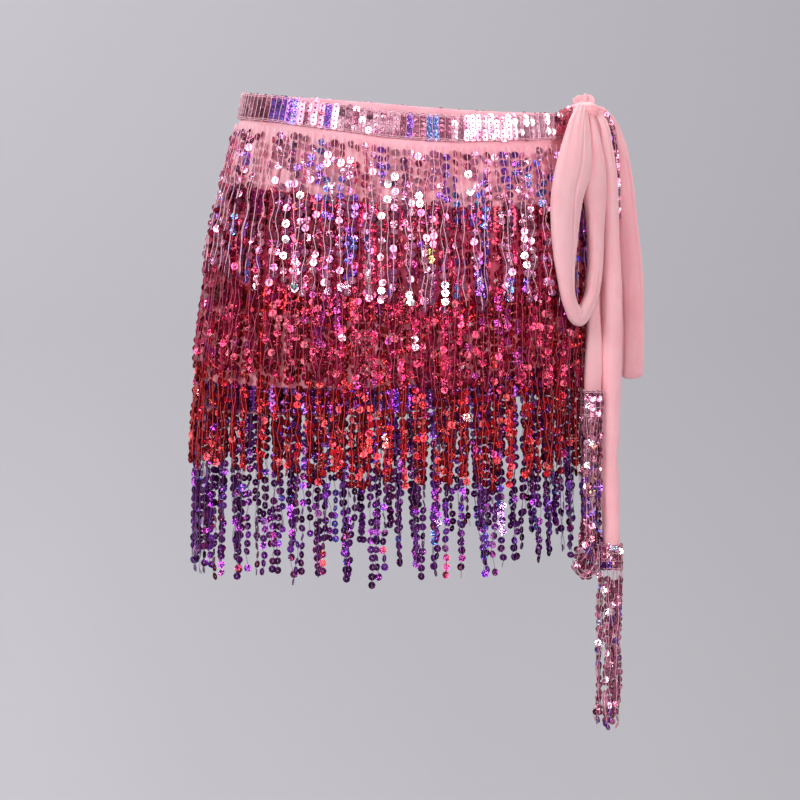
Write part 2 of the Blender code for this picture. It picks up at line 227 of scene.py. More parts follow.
def sequinMaterial(name, grain, roughness, metal, sparkle, coat):
    # film sequins: each disc's tint, its alpha is how holographic it is, and a fine faceted grain
    mat, tree, shader = nodeSetup(name)
    tint = addNode(tree, "Attribute", attribute_name="tint")
    coords = addNode(tree, "TexCoord")
    cells = addNode(tree, "TexVoronoi", {"Scale": 1250, "Vector": coords.outputs["Object"]})
    split = addNode(tree, "SeparateColor", {0: cells.outputs["Color"]})
    # hue of each grain, spread by the disc's alpha
    centred = addNode(tree, "Math", {0: split.outputs[0], 1: 0.5}, operation="SUBTRACT")
    spread = addNode(tree, "Math", {0: centred.outputs[0], 1: tint.outputs["Alpha"]}, operation="MULTIPLY")
    hue = addNode(tree, "Math", {0: spread.outputs[0], 1: grain, 2: 0.5}, operation="MULTIPLY_ADD")
    value = addNode(tree, "MapRange", {"Value": split.outputs[1], "To Min": 0.45, "To Max": 1.5})
    shifted = addNode(tree, "HueSaturation", {
        "Hue": hue.outputs[0], "Value": value.outputs[0], "Color": tint.outputs["Color"]})
    # each grain leans its own way, so it catches the light on its own
    lean = addNode(tree, "VectorMath", {0: cells.outputs["Color"], 1: (0.5, 0.5, 0.5)}, operation="SUBTRACT")
    amount = addNode(tree, "Math", {0: tint.outputs["Alpha"], 1: 0.32, 2: sparkle}, operation="MULTIPLY_ADD")
    scaled = addNode(tree, "VectorMath", {0: lean.outputs[0], "Scale": amount.outputs[0]}, operation="SCALE")
    added = addNode(tree, "VectorMath", {0: coords.outputs["Normal"], 1: scaled.outputs[0]}, operation="ADD")
    faced = addNode(tree, "VectorMath", {0: added.outputs[0]}, operation="NORMALIZE")
    setSockets(tree, shader, {
        "Base Color": shifted.outputs["Color"], "Normal": faced.outputs[0], "Metallic": metal,
        "Roughness": roughness, "Coat Weight": coat, "Coat Roughness": 0.05})
    return mat


def threadMaterial(name, colour):
    mat, tree, shader = nodeSetup(name)
    coords = addNode(tree, "TexCoord")
    noise = addNode(tree, "TexNoise", {"Scale": 400, "Vector": coords.outputs["Object"]})
    mixed = twoTones(tree, noise, [c * 0.6 for c in colour], colour, 0.3, 0.6)
    setSockets(tree, shader, {"Base Color": mixed, "Roughness": 0.55, "Sheen Weight": 0.05})
    return mat


def chiffonMaterial(name, light, shade, deep=None):
    # deep: painted shade, a darker colour that the cloth takes where its own attribute says so, standing in
    # for the shade and red bounce light under the dense strands
    mat, tree, shader = nodeSetup(name)
    coords = addNode(tree, "TexCoord")
    soft = addNode(tree, "TexNoise", {"Scale": 28, "Detail": 5, "Vector": coords.outputs["Object"]})
    colour = twoTones(tree, soft, shade, light, 0.25, 0.6)
    if deep:
        # painted shade: the deep colour is mixed in as far as the cloth's deep attribute says
        down = addNode(tree, "Attribute", attribute_name="deep")
        mixed = addNode(tree, "Mix", {"Factor": down.outputs["Fac"], 6: colour, 7: (*deep, 1)},
                        data_type="RGBA")
        colour = mixed.outputs[2]
    weave = addNode(tree, "TexNoise", {"Scale": 1600, "Detail": 2, "Vector": coords.outputs["Object"]})
    fine = addNode(tree, "Bump", {"Strength": 0.15, "Distance": 0.1 * mm, "Height": weave.outputs["Fac"]})
    # soft crumples, drawn out along the cloth's hang
    hang = addNode(tree, "Mapping", {"Scale": (1, 1, 0.3), "Vector": coords.outputs["Object"]})
    crepe = addNode(tree, "TexNoise", {
        "Scale": 110, "Detail": 4, "Distortion": 0.6, "Vector": hang.outputs["Vector"]})
    broad = addNode(tree, "Bump", {
        "Strength": 0.45, "Distance": 1.2 * mm, "Height": crepe.outputs["Fac"],
        "Normal": fine.outputs["Normal"]})
    setSockets(tree, shader, {
        "Base Color": colour, "Normal": broad.outputs["Normal"], "Roughness": 0.8, "Specular IOR Level": 0.25,
        "Sheen Weight": 0.35, "Sheen Roughness": 0.5, "Subsurface Weight": 0.5,
        "Subsurface Radius": (8 * mm, 2 * mm, 2.5 * mm), "Subsurface Scale": 1.0})
    return mat


chiffon = chiffonMaterial("pinkChiffon", (0.89, 0.38, 0.41), (0.84, 0.32, 0.355))
panelCloth = chiffonMaterial("pinkPanel", (0.84, 0.36, 0.41), (0.76, 0.27, 0.32), (0.42, 0.06, 0.11))
roseTape = chiffonMaterial("roseTape", (0.34, 0.02, 0.06), (0.22, 0.01, 0.04))
mauveTape = chiffonMaterial("mauveTape", (0.34, 0.11, 0.17), (0.22, 0.06, 0.10))
redTape = chiffonMaterial("redTape", (0.36, 0.012, 0.03), (0.24, 0.008, 0.02))
purpleTape = chiffonMaterial("purpleTape", (0.10, 0.03, 0.22), (0.06, 0.015, 0.12))
# spread of hues, roughness, metal, sparkle, clear coat
pinkFilm = sequinMaterial("pinkFilm", 0.22, 0.15, 0.75, 0.05, 0.25)
roseFilm = sequinMaterial("roseFilm", 0.12, 0.18, 0.7, 0.18, 0.1)
redFilm = sequinMaterial("redFilm", 0.07, 0.18, 0.7, 0.18, 0.08)
purpleFilm = sequinMaterial("purpleFilm", 0.20, 0.17, 0.8, 0.12, 0.03)
bandFilm = sequinMaterial("bandFilm", 0.2, 0.24, 0.6, 0.02, 0.2)
paleThread = threadMaterial("paleThread", (0.90, 0.47, 0.56))
roseThread = threadMaterial("roseThread", (0.52, 0.05, 0.12))
tasselThread = threadMaterial("tasselThread", (0.85, 0.42, 0.52))
redThread = threadMaterial("redThread", (0.60, 0.010, 0.018))
darkThread = threadMaterial("darkThread", (0.15, 0.04, 0.20))
print("materials ready")

# film colours: weight, colour, how holographic
palettes = {
    "pink": [
        (7, (0.54, 0.17, 0.33), 0.4), (3, (0.35, 0.09, 0.23), 0.35), (4.5, (0.68, 0.25, 0.39), 0.35),
        (2.6, (0.22, 0.05, 0.40), 0.9), (0.9, (0.11, 0.09, 0.52), 1.0), (1.4, (0.82, 0.34, 0.46), 0.1),
        (0.1, (0.60, 0.34, 0.10), 1.0), (0.2, (0.16, 0.42, 0.46), 1.0), (1.6, (0.50, 0.05, 0.15), 0.5),
    ],
    "band": [
        (7, (0.43, 0.16, 0.24), 0.12), (4, (0.25, 0.06, 0.11), 0.1), (3, (0.60, 0.28, 0.37), 0.1),
        (0.6, (0.20, 0.06, 0.36), 0.7), (0.3, (0.60, 0.34, 0.12), 0.9),
    ],
    "mauve": [
        (6, (0.50, 0.15, 0.25), 0.3), (3, (0.33, 0.08, 0.15), 0.2), (4, (0.70, 0.34, 0.45), 0.3),
        (1.1, (0.18, 0.06, 0.38), 0.8), (0.5, (0.22, 0.34, 0.50), 1.0), (0.3, (0.55, 0.25, 0.10), 0.9),
    ],
    "rose": [
        (6, (0.31, 0.005, 0.04), 0.2), (5, (0.18, 0.003, 0.02), 0.1), (2.2, (0.55, 0.02, 0.09), 0.3),
        (1, (0.27, 0.012, 0.13), 0.6), (0.5, (0.70, 0.10, 0.19), 0.4),
    ],
    "red": [
        (6, (0.28, 0.002, 0.010), 0.2), (5, (0.16, 0.002, 0.006), 0.1), (1.8, (0.55, 0.006, 0.016), 0.3),
        (0.8, (0.26, 0.006, 0.09), 0.6),
    ],
    "purple": [
        (7, (0.11, 0.012, 0.15), 0.5), (4, (0.07, 0.008, 0.07), 0.3), (3, (0.20, 0.025, 0.38), 0.8),
        (2, (0.17, 0.012, 0.11), 0.8), (0.9, (0.09, 0.05, 0.50), 1.0), (0.6, (0.35, 0.02, 0.07), 0.6),
    ],
    "end": [(3, (0.52, 0.13, 0.21), 0.2), (2, (0.66, 0.27, 0.35), 0.1), (1, (0.30, 0.05, 0.10), 0.2)],
}
# patches of another colour, where a slow wave is above a level
violetZone = {"seed": 3.0, "above": 0.40, "chance": 0.4, "colour": (0.20, 0.05, 0.42), "holo": 1.0}
blueZone = {"seed": 9.0, "above": 0.55, "chance": 0.4, "colour": (0.08, 0.08, 0.50), "holo": 1.0}
maroonZone = {"seed": 5.5, "above": 0.2, "chance": 0.5, "colour": (0.32, 0.06, 0.13), "holo": 0.3}
# painted highlight: a near-white tint for discs that glint, which are also turned to the lamp
glintPaintedPale = (1.0, 0.80, 0.86, 0.0)
# painted highlight: paler pinks painted on a patch that faces the light, and near white for its brightest
# discs
paintedLitPinks = np.array([(0.76, 0.38, 0.49, 0.05), (0.62, 0.27, 0.37, 0.05), (0.36, 0.11, 0.19, 0.1)])
paintedBrightPink = (1.0, 0.68, 0.77, 0.0)
viewFrom = np.array([-0.008, -2.6, -0.235])
glintLight = np.array([0.1, -2.75, 0.25])


# sequins and threads are joined meshes
def discTemplate(radius, sides, hole):
    # a cupped disc with a hole, closed: hole ring, step ring, rim, back
    angles = np.arange(sides) * 2 * math.pi / sides
    rings = [(hole * radius, -0.02 * radius), (0.3 * radius, 0.0), (radius, 0.03 * radius)]
    verts = [np.stack([r * np.cos(angles), r * np.sin(angles), z + 0 * angles], -1) for r, z in rings]
    faces = []
    for k in range(sides):
        n = (k + 1) % sides
        for a, b in ((0, 1), (1, 2)):
            faces.append((a * sides + k, b * sides + k, b * sides + n, a * sides + n))
        faces.append((2 * sides + k, k, n, 2 * sides + n))
    return np.concatenate(verts), np.array(faces)


def placeDiscs(name, places, normals, ups, tints, radius, mat, sides, hole=0.11):
    verts, faces = discTemplate(radius, sides, hole)
    normals = unit(normals)
    side = unit(np.cross(ups, normals))
    axes = (side, np.cross(normals, side), normals)
    spots = places[:, None] + sum(axis[:, None] * verts[None, :, k:k + 1] for k, axis in enumerate(axes))
    count = len(verts)
    allFaces = (faces[None] + (np.arange(len(places)) * count)[:, None, None]).reshape(-1, 4)
    ob = link(name, spots.reshape(-1, 3), allFaces.tolist(), mat)
    tint = ob.data.attributes.new("tint", "FLOAT_COLOR", "POINT")
    tint.data.foreach_set("color", np.repeat(tints, count, axis=0).astype(np.float32).ravel())
    return ob


def placeThreads(name, paths, radius, mat, sides=3):
    # thin closed tubes along lists of points
    verts, faces, start = [], [], 0
    for path in paths:
        along = unit(np.gradient(path, axis=0))
        flat = upright if abs(along[0, 2]) < 0.7 else np.array([1.0, 0.3, 0.0])
        side = unit(np.cross(along, flat))
        other = np.cross(along, side)
        for k in range(sides):
            angle = 2 * math.pi * k / sides
            verts.append(path + (side * math.cos(angle) + other * math.sin(angle)) * radius)
        count = len(path)
        for k in range(sides):
            n = (k + 1) % sides
            for i in range(count - 1):
                a, b = start + k * count + i, start + n * count + i
                faces.append((a, b, b + 1, a + 1))
        faces.append(tuple(start + k * count for k in reversed(range(sides))))
        faces.append(tuple(start + k * count + count - 1 for k in range(sides)))
        start += sides * count
    ob = link(name, np.concatenate(verts), faces, mat, True)
    faceOutwards(ob)
    return ob


def wave(place, seed):
    # cheap smooth noise between -1 and 1, from a few sines
    x, y, z = place[..., 0], place[..., 1], place[..., 2]
    a = np.sin(71 * x + 37 * z + seed) + np.sin(-53 * x + 83 * y + 2.1 * seed)
    b = np.sin(97 * z - 41 * y + 1.3 * seed) + np.sin(131 * x + 59 * z + 0.7 * seed)
    return (a + b) / 4


def pickTints(places, rng, palette, zones, same):
    # same is the chance that a disc keeps the colour of the one above it
    weights = np.array([row[0] for row in palette], float)
    colours = np.array([(*row[1], row[2]) for row in palette])
    picks = rng.choice(len(palette), len(places), p=weights / weights.sum())
    keep = rng.random(len(places)) < same
    keep[0] = False
    source = np.maximum.accumulate(np.where(keep, 0, np.arange(len(places))))
    tints = colours[picks[source]]
    for zone in zones:
        near = wave(places, zone["seed"])
        take = (near > zone["above"]) & (rng.random(len(places)) < zone["chance"])[source]
        tints[take] = (*zone["colour"], zone["holo"])
    tints[:, :3] = np.clip(tints[:, :3] * (1 + 0.25 * rng.standard_normal((len(places), 1))), 0.003, 1)
    return tints


def turned(normals, ups, twist, tilt):
    # disc normals turned about the strand and nodded up or down, in radians
    side = unit(np.cross(ups, normals))
    swung = normals * np.cos(twist)[:, None] + side * np.sin(twist)[:, None]
    return unit(swung * np.cos(tilt)[:, None] + ups * np.sin(tilt)[:, None])


def towardsGlint(places, rng, spread):
    # normals that mirror the small front light towards the camera, a little off each
    halfway = unit(unit(viewFrom - places) + unit(glintLight - places))
    return unit(halfway + rng.normal(0, spread, places.shape))


# a header tape: woven ribbon, discs in columns of five, and the threads that hold them
discRows = 5


def tapeCloth(name, tape):
    columns, rows = 260, 4
    share = np.linspace(0, 1, columns + 1)
    turn = wrapTurn(share, tape["drop"])
    top = rowHeight(turn, tape["drop"])
    verts = [skirtPlace(turn, top - tape["height"] * r / rows, tapeOut + 0 * turn) for r in range(rows + 1)]
    ob = link(name, np.concatenate(verts), gridFaces(rows + 1, columns + 1), tape["cloth"], True)
    thicken(ob, 0.5 * mm)
    return ob


def tapeSequins(name, tape):
    rng = np.random.default_rng(tape["seed"])
    columns, height = tape["columns"], tape["height"]
    share = np.repeat((np.arange(columns) + 0.5) / columns, discRows)
    level = np.tile(np.arange(discRows), columns)
    down = (level + 0.5) / discRows * (height - 1.2 * mm) + 0.6 * mm
    down += np.repeat(rng.normal(0, 0.45 * mm, columns), discRows) + rng.normal(0, 0.12 * mm, len(share))
    turn = wrapTurn(share, tape["drop"])
    degrees = np.degrees(turn)
    tall = rowHeight(turn, tape["drop"]) - down
    places = skirtPlace(turn, tall, discOut + 0.25 * mm + 0.15 * mm * (level % 2))
    ups = np.tile(upright, (len(share), 1))
    lean = np.repeat(rng.normal(0, 0.07, columns), discRows)
    twist = 0.22 * wave(places * 0.7, tape["seed"]) + lean
    tilt = 0.10 + 0.08 * wave(places, tape["seed"] + 4) + rng.normal(0, 0.03, len(share))
    normals = turned(ringOut(turn, tall), ups, twist, tilt)
    tints = pickTints(places, rng, tape["palette"], tape["zones"], 0.85)
    # painted reflection: columns coloured as the discs reflect at these turns
    for low, high, colour, holo, chance in tape["spans"]:
        inside = (degrees > low) & (degrees < high)
        inside &= np.repeat(rng.random(columns) < chance, discRows)
        tints[inside] = (*colour, holo)
        tints[inside, :3] *= rng.uniform(0.6, 1.4, (inside.sum(), 1))
    facing = towardsGlint(places, rng, 0.03)
    for middle, half, chance in tape["glints"]:
        near = np.exp(-((degrees - middle) / half) ** 6)
        # more of them towards the tape's lower edge, and in whole columns
        luck = 0.6 * np.repeat(rng.random(columns), discRows) + 0.4 * rng.random(len(share))
        take = luck * (1.15 - 0.4 * down / height) < near * chance
        bright = take & (rng.random(len(take)) < 0.20)
        normals[bright] = unit(facing[bright] + 0.1 * normals[bright])
        # painted highlight: the patch's discs are painted paler pinks, and the brightest near white
        tints[take] = paintedLitPinks[rng.choice(3, take.sum(), p=[0.5, 0.35, 0.15])]
        tints[bright] = paintedBrightPink
    return placeDiscs(name, places, normals, ups, tints, 3.0 * mm, tape["film"], 8, 0.21)


def tapeThreads(name, tape):
    # stitched lines along both edges, and the upright threads between the columns
    rng = np.random.default_rng(tape["seed"] + 1)
    drop, height, columns = tape["drop"], tape["height"], tape["columns"]
    paths = []
    steps = np.linspace(0, 1, 420)
    turn = wrapTurn(steps, drop)
    for line in tape["lines"]:
        for down in (line * mm, height - line * mm):
            wobble = 0.25 * mm * np.sin(steps * 900 + line) + 0.2 * mm * np.sin(steps * 77)
            tall = rowHeight(turn, drop) - down + wobble
            paths.append(skirtPlace(turn, tall, discOut + 0.5 * mm + 0 * turn))
    points = 6
    for i in range(columns + 1):
        turn = wrapTurn(np.full(points, i / columns) + rng.normal(0, 0.00025, points), drop)
        tall = rowHeight(turn, drop) - np.linspace(0.2 * mm, height - 0.2 * mm, points)
        paths.append(skirtPlace(turn, tall, discOut + 0.55 * mm + rng.uniform(0, 0.2 * mm, points)))
    return placeThreads(name, paths, 0.28 * mm, tape["thread"])


# the fringe: strands of sequins that hang from the tapes
def plumbTurns(turn, tall):
    # the turns of a strand's points as it hangs plumb: the cloth only pushes it outwards
    found = np.zeros_like(tall)
    found[:, 0] = turn
    spot = ringPlace(turn, tall[:, 0])[:, :2]
    offsets = np.radians(np.linspace(-2.0, 2.0, 81))
    for k in range(1, tall.shape[1]):
        tries = found[:, k - 1, None] + offsets
        ring = ringPlace(tries, tall[:, k, None] + 0 * tries)[..., :2]
        near = np.linalg.norm(ring - spot[:, None], axis=-1).argmin(1)
        found[:, k] = tries[np.arange(len(turn)), near]
        spot = ring[np.arange(len(turn)), near]
    # smooths the small steps of the search
    for _ in range(3):
        found[:, 1:-1] = (found[:, :-2] + 2 * found[:, 1:-1] + found[:, 2:]) / 4
    return found


def strandPaths(row, rng):
    # where each strand's points lie: steps down the strand, as turn, height and out
    count, points, fullTurn = row["count"], 30, 6.28
    share = (np.arange(count) + 0.5) / count + rng.normal(0, 0.12, count) / count
    length = row["length"] + rng.normal(0, row["uneven"], count).clip(-9 * mm, 7 * mm)
    down = np.linspace(0, 1, points)[None] * length[:, None]
    part = down / row["length"]
    # neighbours gather in twos and threes towards their tips
    pull = np.zeros(count)
    i = 0
    while i < count:
        size = int(rng.choice([1, 2, 3, 4], p=row["groups"]))
        members = np.arange(i, min(i + size, count))
        pull[members] = (members.mean() - members) * row["gather"] * rng.uniform(0.6, 1.3)
        i += size
    lean = rng.normal(0, row["lean"], count) + 0.5 * row["lean"] * np.sin(np.arange(count) * 0.37)
    wig = rng.uniform(0.35, 1.1, count) * row["wiggle"]
    wavelength = rng.uniform(20 * mm, 45 * mm, count)[:, None]
    phase = rng.uniform(0, fullTurn, count)[:, None]
    aside = (
        pull[:, None] * hipLength / count * np.clip(part, 0, 1) ** 1.3
        + lean[:, None] * part**1.4
        + wig[:, None] * np.sin(down / wavelength * fullTurn + phase) * np.minimum(1, part * 5)
    )
    stand = rng.uniform(-0.2, 1.2, count)[:, None] * mm
    outward = onCloth + 0.8 * mm + splay * down + stand * np.minimum(1, part * 3)
    outward += 0.5 * mm * np.sin(down / (30 * mm) + phase * 2) * np.minimum(1, part * 2)
    top = wrapTurn(share, row["drop"])
    tall = (rowHeight(top, row["drop"]) - row["start"])[:, None] - down
    turn = plumbTurns(top, tall) - aside / hipLength * 2 * math.pi
    return down, length, turn, tall, outward


def frontChance(turn):
    # the light catches most discs on the front, a little to the right of its middle
    return 0.45 + 1.9 * np.exp(-((np.degrees(turn) - 8) / 30) ** 2)


def someEdgeOn(twist, rng, share, least):
    # a share of the discs is turned nearly edge on, to either side
    side = rng.random(len(twist)) < share
    return np.where(side, rng.choice([-1, 1], len(twist)) * rng.uniform(least, 1.4, len(twist)), twist)


def strandSequins(row):
    rng = np.random.default_rng(row["seed"])
    down, length, turn, tall, outward = strandPaths(row, rng)
    count, pitch = row["count"], row["pitch"]
    sway = rng.uniform(0.3, 1.0, count) * mm
    phase = rng.uniform(0, 6.28, count)
    threads, places, normals, ups, glint = [], [], [], [], []
    for i in range(count):
        def read(values, at):
            return np.interp(at, down[i], values[i])

        first = row["bare"] + rng.uniform(0.4, 1.2) * pitch
        spots = np.arange(first, length[i], pitch * rng.uniform(0.96, 1.05))
        spots = spots + rng.normal(0, 0.3 * mm, len(spots))
        spots = spots[rng.random(len(spots)) > row["missing"]]
        t, h, o = read(turn, spots), read(tall, spots), read(outward, spots)
        reach = 2 * mm
        along = unit(skirtPlace(read(turn, spots - reach), h + reach, o - splay * reach)
                     - skirtPlace(read(turn, spots + reach), h - reach, o + splay * reach))
        out = ringOut(t, h)
        out = unit(out - along * (out * along).sum(1, keepdims=True))
        twist = rng.normal(0, row["twist"]) + 0.25 * np.sin(spots / (20 * mm) + i)
        twist = twist + rng.normal(0, row["twist"] * 0.6, len(spots))
        twist = someEdgeOn(twist, rng, row["edgeOn"], 0.9)
        tilt = rng.normal(0.02, row["nod"], len(spots))
        lit = np.zeros(len(spots), bool)
        for _ in range(rng.poisson(row["glint"] * frontChance(turn[i, 0]))):
            start = rng.integers(0, len(spots) - 1)
            lit[start:start + int(rng.choice([1, 2, 3, 4], p=[0.68, 0.25, 0.06, 0.01]))] = True
        places.append(skirtPlace(t, h, o))
        normals.append(turned(out, along, twist, tilt))
        ups.append(along)
        glint.append(lit)
        # the thread wanders over the discs' fronts and ends just under the last one
        run = np.linspace(0, spots[-1] + 1.5 * mm, 29)
        aside = sway[i] * np.sin(run / (4.2 * mm) + phase[i])
        aside += 0.6 * mm * np.sin(run / (11 * mm) + 2 * phase[i])
        t = read(turn, run) + aside * np.minimum(1, run / (20 * mm)) / hipRadius
        threads.append(skirtPlace(t, tall[i][0] - run, read(outward, run) + 1.0 * mm))
    lines = placeThreads("threads_" + row["name"], threads, row["threadRadius"], row["thread"])
    places, normals, ups, glint = map(np.concatenate, (places, normals, ups, glint))
    tints = pickTints(places, rng, row["palette"], row["zones"], row["same"])
    facing = towardsGlint(places, rng, 0.02)
    # none where the bow hangs before them
    besideBow = np.arctan2(places[:, 0], -places[:, 1]) < math.radians(57)
    lit = glint & besideBow & ((facing * normals).sum(1) > 0.62)
    # painted highlight: glinting discs are turned to the lamp, and also take the row's pale glint tint
    normals[lit] = facing[lit]
    tints[lit] = row["paintedGlintTint"]
    discs = placeDiscs("sequins_" + row["name"], places, normals, ups, tints, 3.05 * mm, row["film"],
                       row["sides"])
    return discs, lines


# each row: where it hangs, its strands' cut and hang, its discs, and its finish, with the painted highlight
# tint of its glinting discs
trim = {"start": tapeHeight, "sides": 8, "zones": [], "same": 0.5}
rows = [
    dict(trim, name="row_1_pink", drop=bandHeight + 0.3 * mm, start=4 * mm, seed=11, count=132,
         length=122 * mm, uneven=4 * mm, lean=1.8 * mm, wiggle=1.2 * mm,
         groups=[0.4, 0.35, 0.17, 0.08], gather=0.8,
         sides=9, pitch=6.3 * mm, bare=2 * mm, missing=0.04, twist=0.42, nod=0.15, edgeOn=0.20,
         film=pinkFilm, palette=palettes["pink"], zones=[maroonZone, violetZone, blueZone], same=0.72,
         glint=0.28, paintedGlintTint=glintPaintedPale, thread=paleThread, threadRadius=0.34 * mm),
    dict(trim, name="row_2_rose", drop=rowSpacing, seed=22, count=156,
         length=122 * mm, uneven=3.5 * mm, lean=1.4 * mm, wiggle=0.8 * mm,
         groups=[0.5, 0.3, 0.15, 0.05], gather=0.4,
         pitch=6.2 * mm, bare=0.2 * mm, missing=0.015, twist=0.32, nod=0.16, edgeOn=0.13,
         film=roseFilm, palette=palettes["rose"], cloth=roseTape,
         glint=0.07, paintedGlintTint=(0.95, 0.38, 0.48, 0.0), thread=roseThread, threadRadius=0.27 * mm),
    dict(trim, name="row_3_red", drop=2 * rowSpacing, seed=33, count=156,
         length=123 * mm, uneven=4 * mm, lean=1.8 * mm, wiggle=0.9 * mm,
         groups=[0.45, 0.3, 0.18, 0.07], gather=0.55,
         pitch=6.3 * mm, bare=0.2 * mm, missing=0.04, twist=0.34, nod=0.16, edgeOn=0.18,
         film=redFilm, palette=palettes["red"], cloth=redTape,
         glint=0.05, paintedGlintTint=(0.95, 0.20, 0.20, 0.0), thread=redThread, threadRadius=0.33 * mm),
    dict(trim, name="row_4_purple", drop=3 * rowSpacing, seed=44, count=126,
         length=126 * mm, uneven=4.5 * mm, lean=2.4 * mm, wiggle=1.0 * mm,
         groups=[0.2, 0.38, 0.27, 0.15], gather=0.75,
         pitch=6.5 * mm, bare=3 * mm, missing=0.08, twist=0.38, nod=0.18, edgeOn=0.24,
         film=purpleFilm, palette=palettes["purple"], zones=[violetZone], cloth=purpleTape,
         glint=0.03, paintedGlintTint=(0.50, 0.24, 0.72, 0.3), thread=darkThread, threadRadius=0.24 * mm),
]
shown = []
for row in rows:
    discs, threads = strandSequins(row)
    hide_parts("fringe_" + row["name"])
    shown += [discs, threads]
    if "cloth" in row:
        tape = dict(row, height=tapeHeight, columns=122, seed=row["seed"] + 1, lines=(0.5,),
                    glints=[], spans=[])
        shown += [tapeCloth("tape_" + row["name"], tape), tapeSequins("tape_sequins_" + row["name"], tape),
                  tapeThreads("tape_threads_" + row["name"], tape)]
    print("fringe", row["name"], len(discs.data.polygons))

# waistband. glints: where patches of discs face the light and are painted paler, a painted highlight, as turn
# and
# half width in degrees, and chance. spans: coloured columns between two turns in degrees, how holographic,
# and chance; a painted reflection, dark mauve, violet and blue where the band's discs reflect so at those
# turns
band = {
    # the band's tape is dark mauve so that the discs' holes show dark: painted shade for the shadows in them
    "drop": 0.0, "height": bandHeight, "columns": 142, "seed": 5, "cloth": mauveTape, "film": bandFilm,
    "thread": paleThread, "lines": (0.2, 1.4), "palette": palettes["band"], "zones": [],
    "glints": [(-14, 9, 0.85), (45, 23, 1.1), (-30, 6, 0.35)],
    "spans": [
        (-61, -48, (0.16, 0.06, 0.42), 1.0, 0.8), (-39, -35, (0.18, 0.06, 0.40), 1.0, 0.6),
        (-6, 7, (0.33, 0.09, 0.15), 0.2, 0.8), (7, 17, (0.12, 0.13, 0.50), 1.0, 0.9),
        (17, 22, (0.30, 0.07, 0.13), 0.2, 0.9)],
}
bandTape = tapeCloth("band_tape", band)
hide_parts("waistband")
shown += [bandTape, tapeSequins("band_sequins", band), tapeThreads("band_threads", band)]
print("band ready")

# the cloth panel. painted shade: its colour turns deeper behind the second trim, for the shade and red bounce
# light of the dense strands there, and paler again behind the third
panelCut = {
    "columns": 180, "rows": 36, "out": 0.6 * mm, "ripple": 0.35 * mm, "thick": 0.6 * mm,
    "shadeDrops": [0, rowSpacing, rowSpacing + 0.7 * tapeHeight, 2 * rowSpacing, 2 * rowSpacing + tapeHeight],
    "paintedShade": [0, 0, 1, 1, 0.45],
}
panelShare = np.linspace(0, 1, panelCut["columns"] + 1)
panelDrops = [hemDrop * r / panelCut["rows"] for r in range(panelCut["rows"] + 1)]
panelVerts = []
for drop in panelDrops:
    turn = wrapTurn(panelShare, drop)
    ripple = panelCut["ripple"] * np.sin(panelShare * 91 + 3 * np.sin(drop * 30)) * min(1, drop / (50 * mm))
    panelVerts.append(skirtPlace(turn, rowHeight(turn, drop), panelCut["out"] + ripple))
panel = link("chiffon_panel", np.concatenate(panelVerts), gridFaces(len(panelDrops), len(panelShare)),
             panelCloth, True)
# painted shade: how much of the deep shade colour each row of the panel takes, by drop
paintedShade = np.interp(panelDrops, panelCut["shadeDrops"], panelCut["paintedShade"])
deep = panel.data.attributes.new("deep", "FLOAT", "POINT")
deep.data.foreach_set("value", np.repeat(paintedShade, len(panelShare)).astype(np.float32))
thicken(panel, panelCut["thick"])
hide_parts("cloth_panel")
shown.append(panel)
print("panel ready")

# the bow. its ties are measured from the point where they cross in the knot
knotCut = {
    "turn": math.radians(76), "outward": 14.6 * mm, "above": 4.5 * mm, "sink": 2.5 * mm,
    "deep": 11 * mm, "wide": 13 * mm, "tall": 6.5 * mm, "power": 2.4, "segments": 72, "rings": 40,
}
knotTall = topLine(knotCut["turn"]) + knotCut["above"]
knotOut = ringOut(knotCut["turn"], knotTall)
knotAlong = np.array([-knotOut[1], knotOut[0], 0.0])
knotMiddle = ringPlace(knotCut["turn"], knotTall) + knotOut * knotCut["outward"]

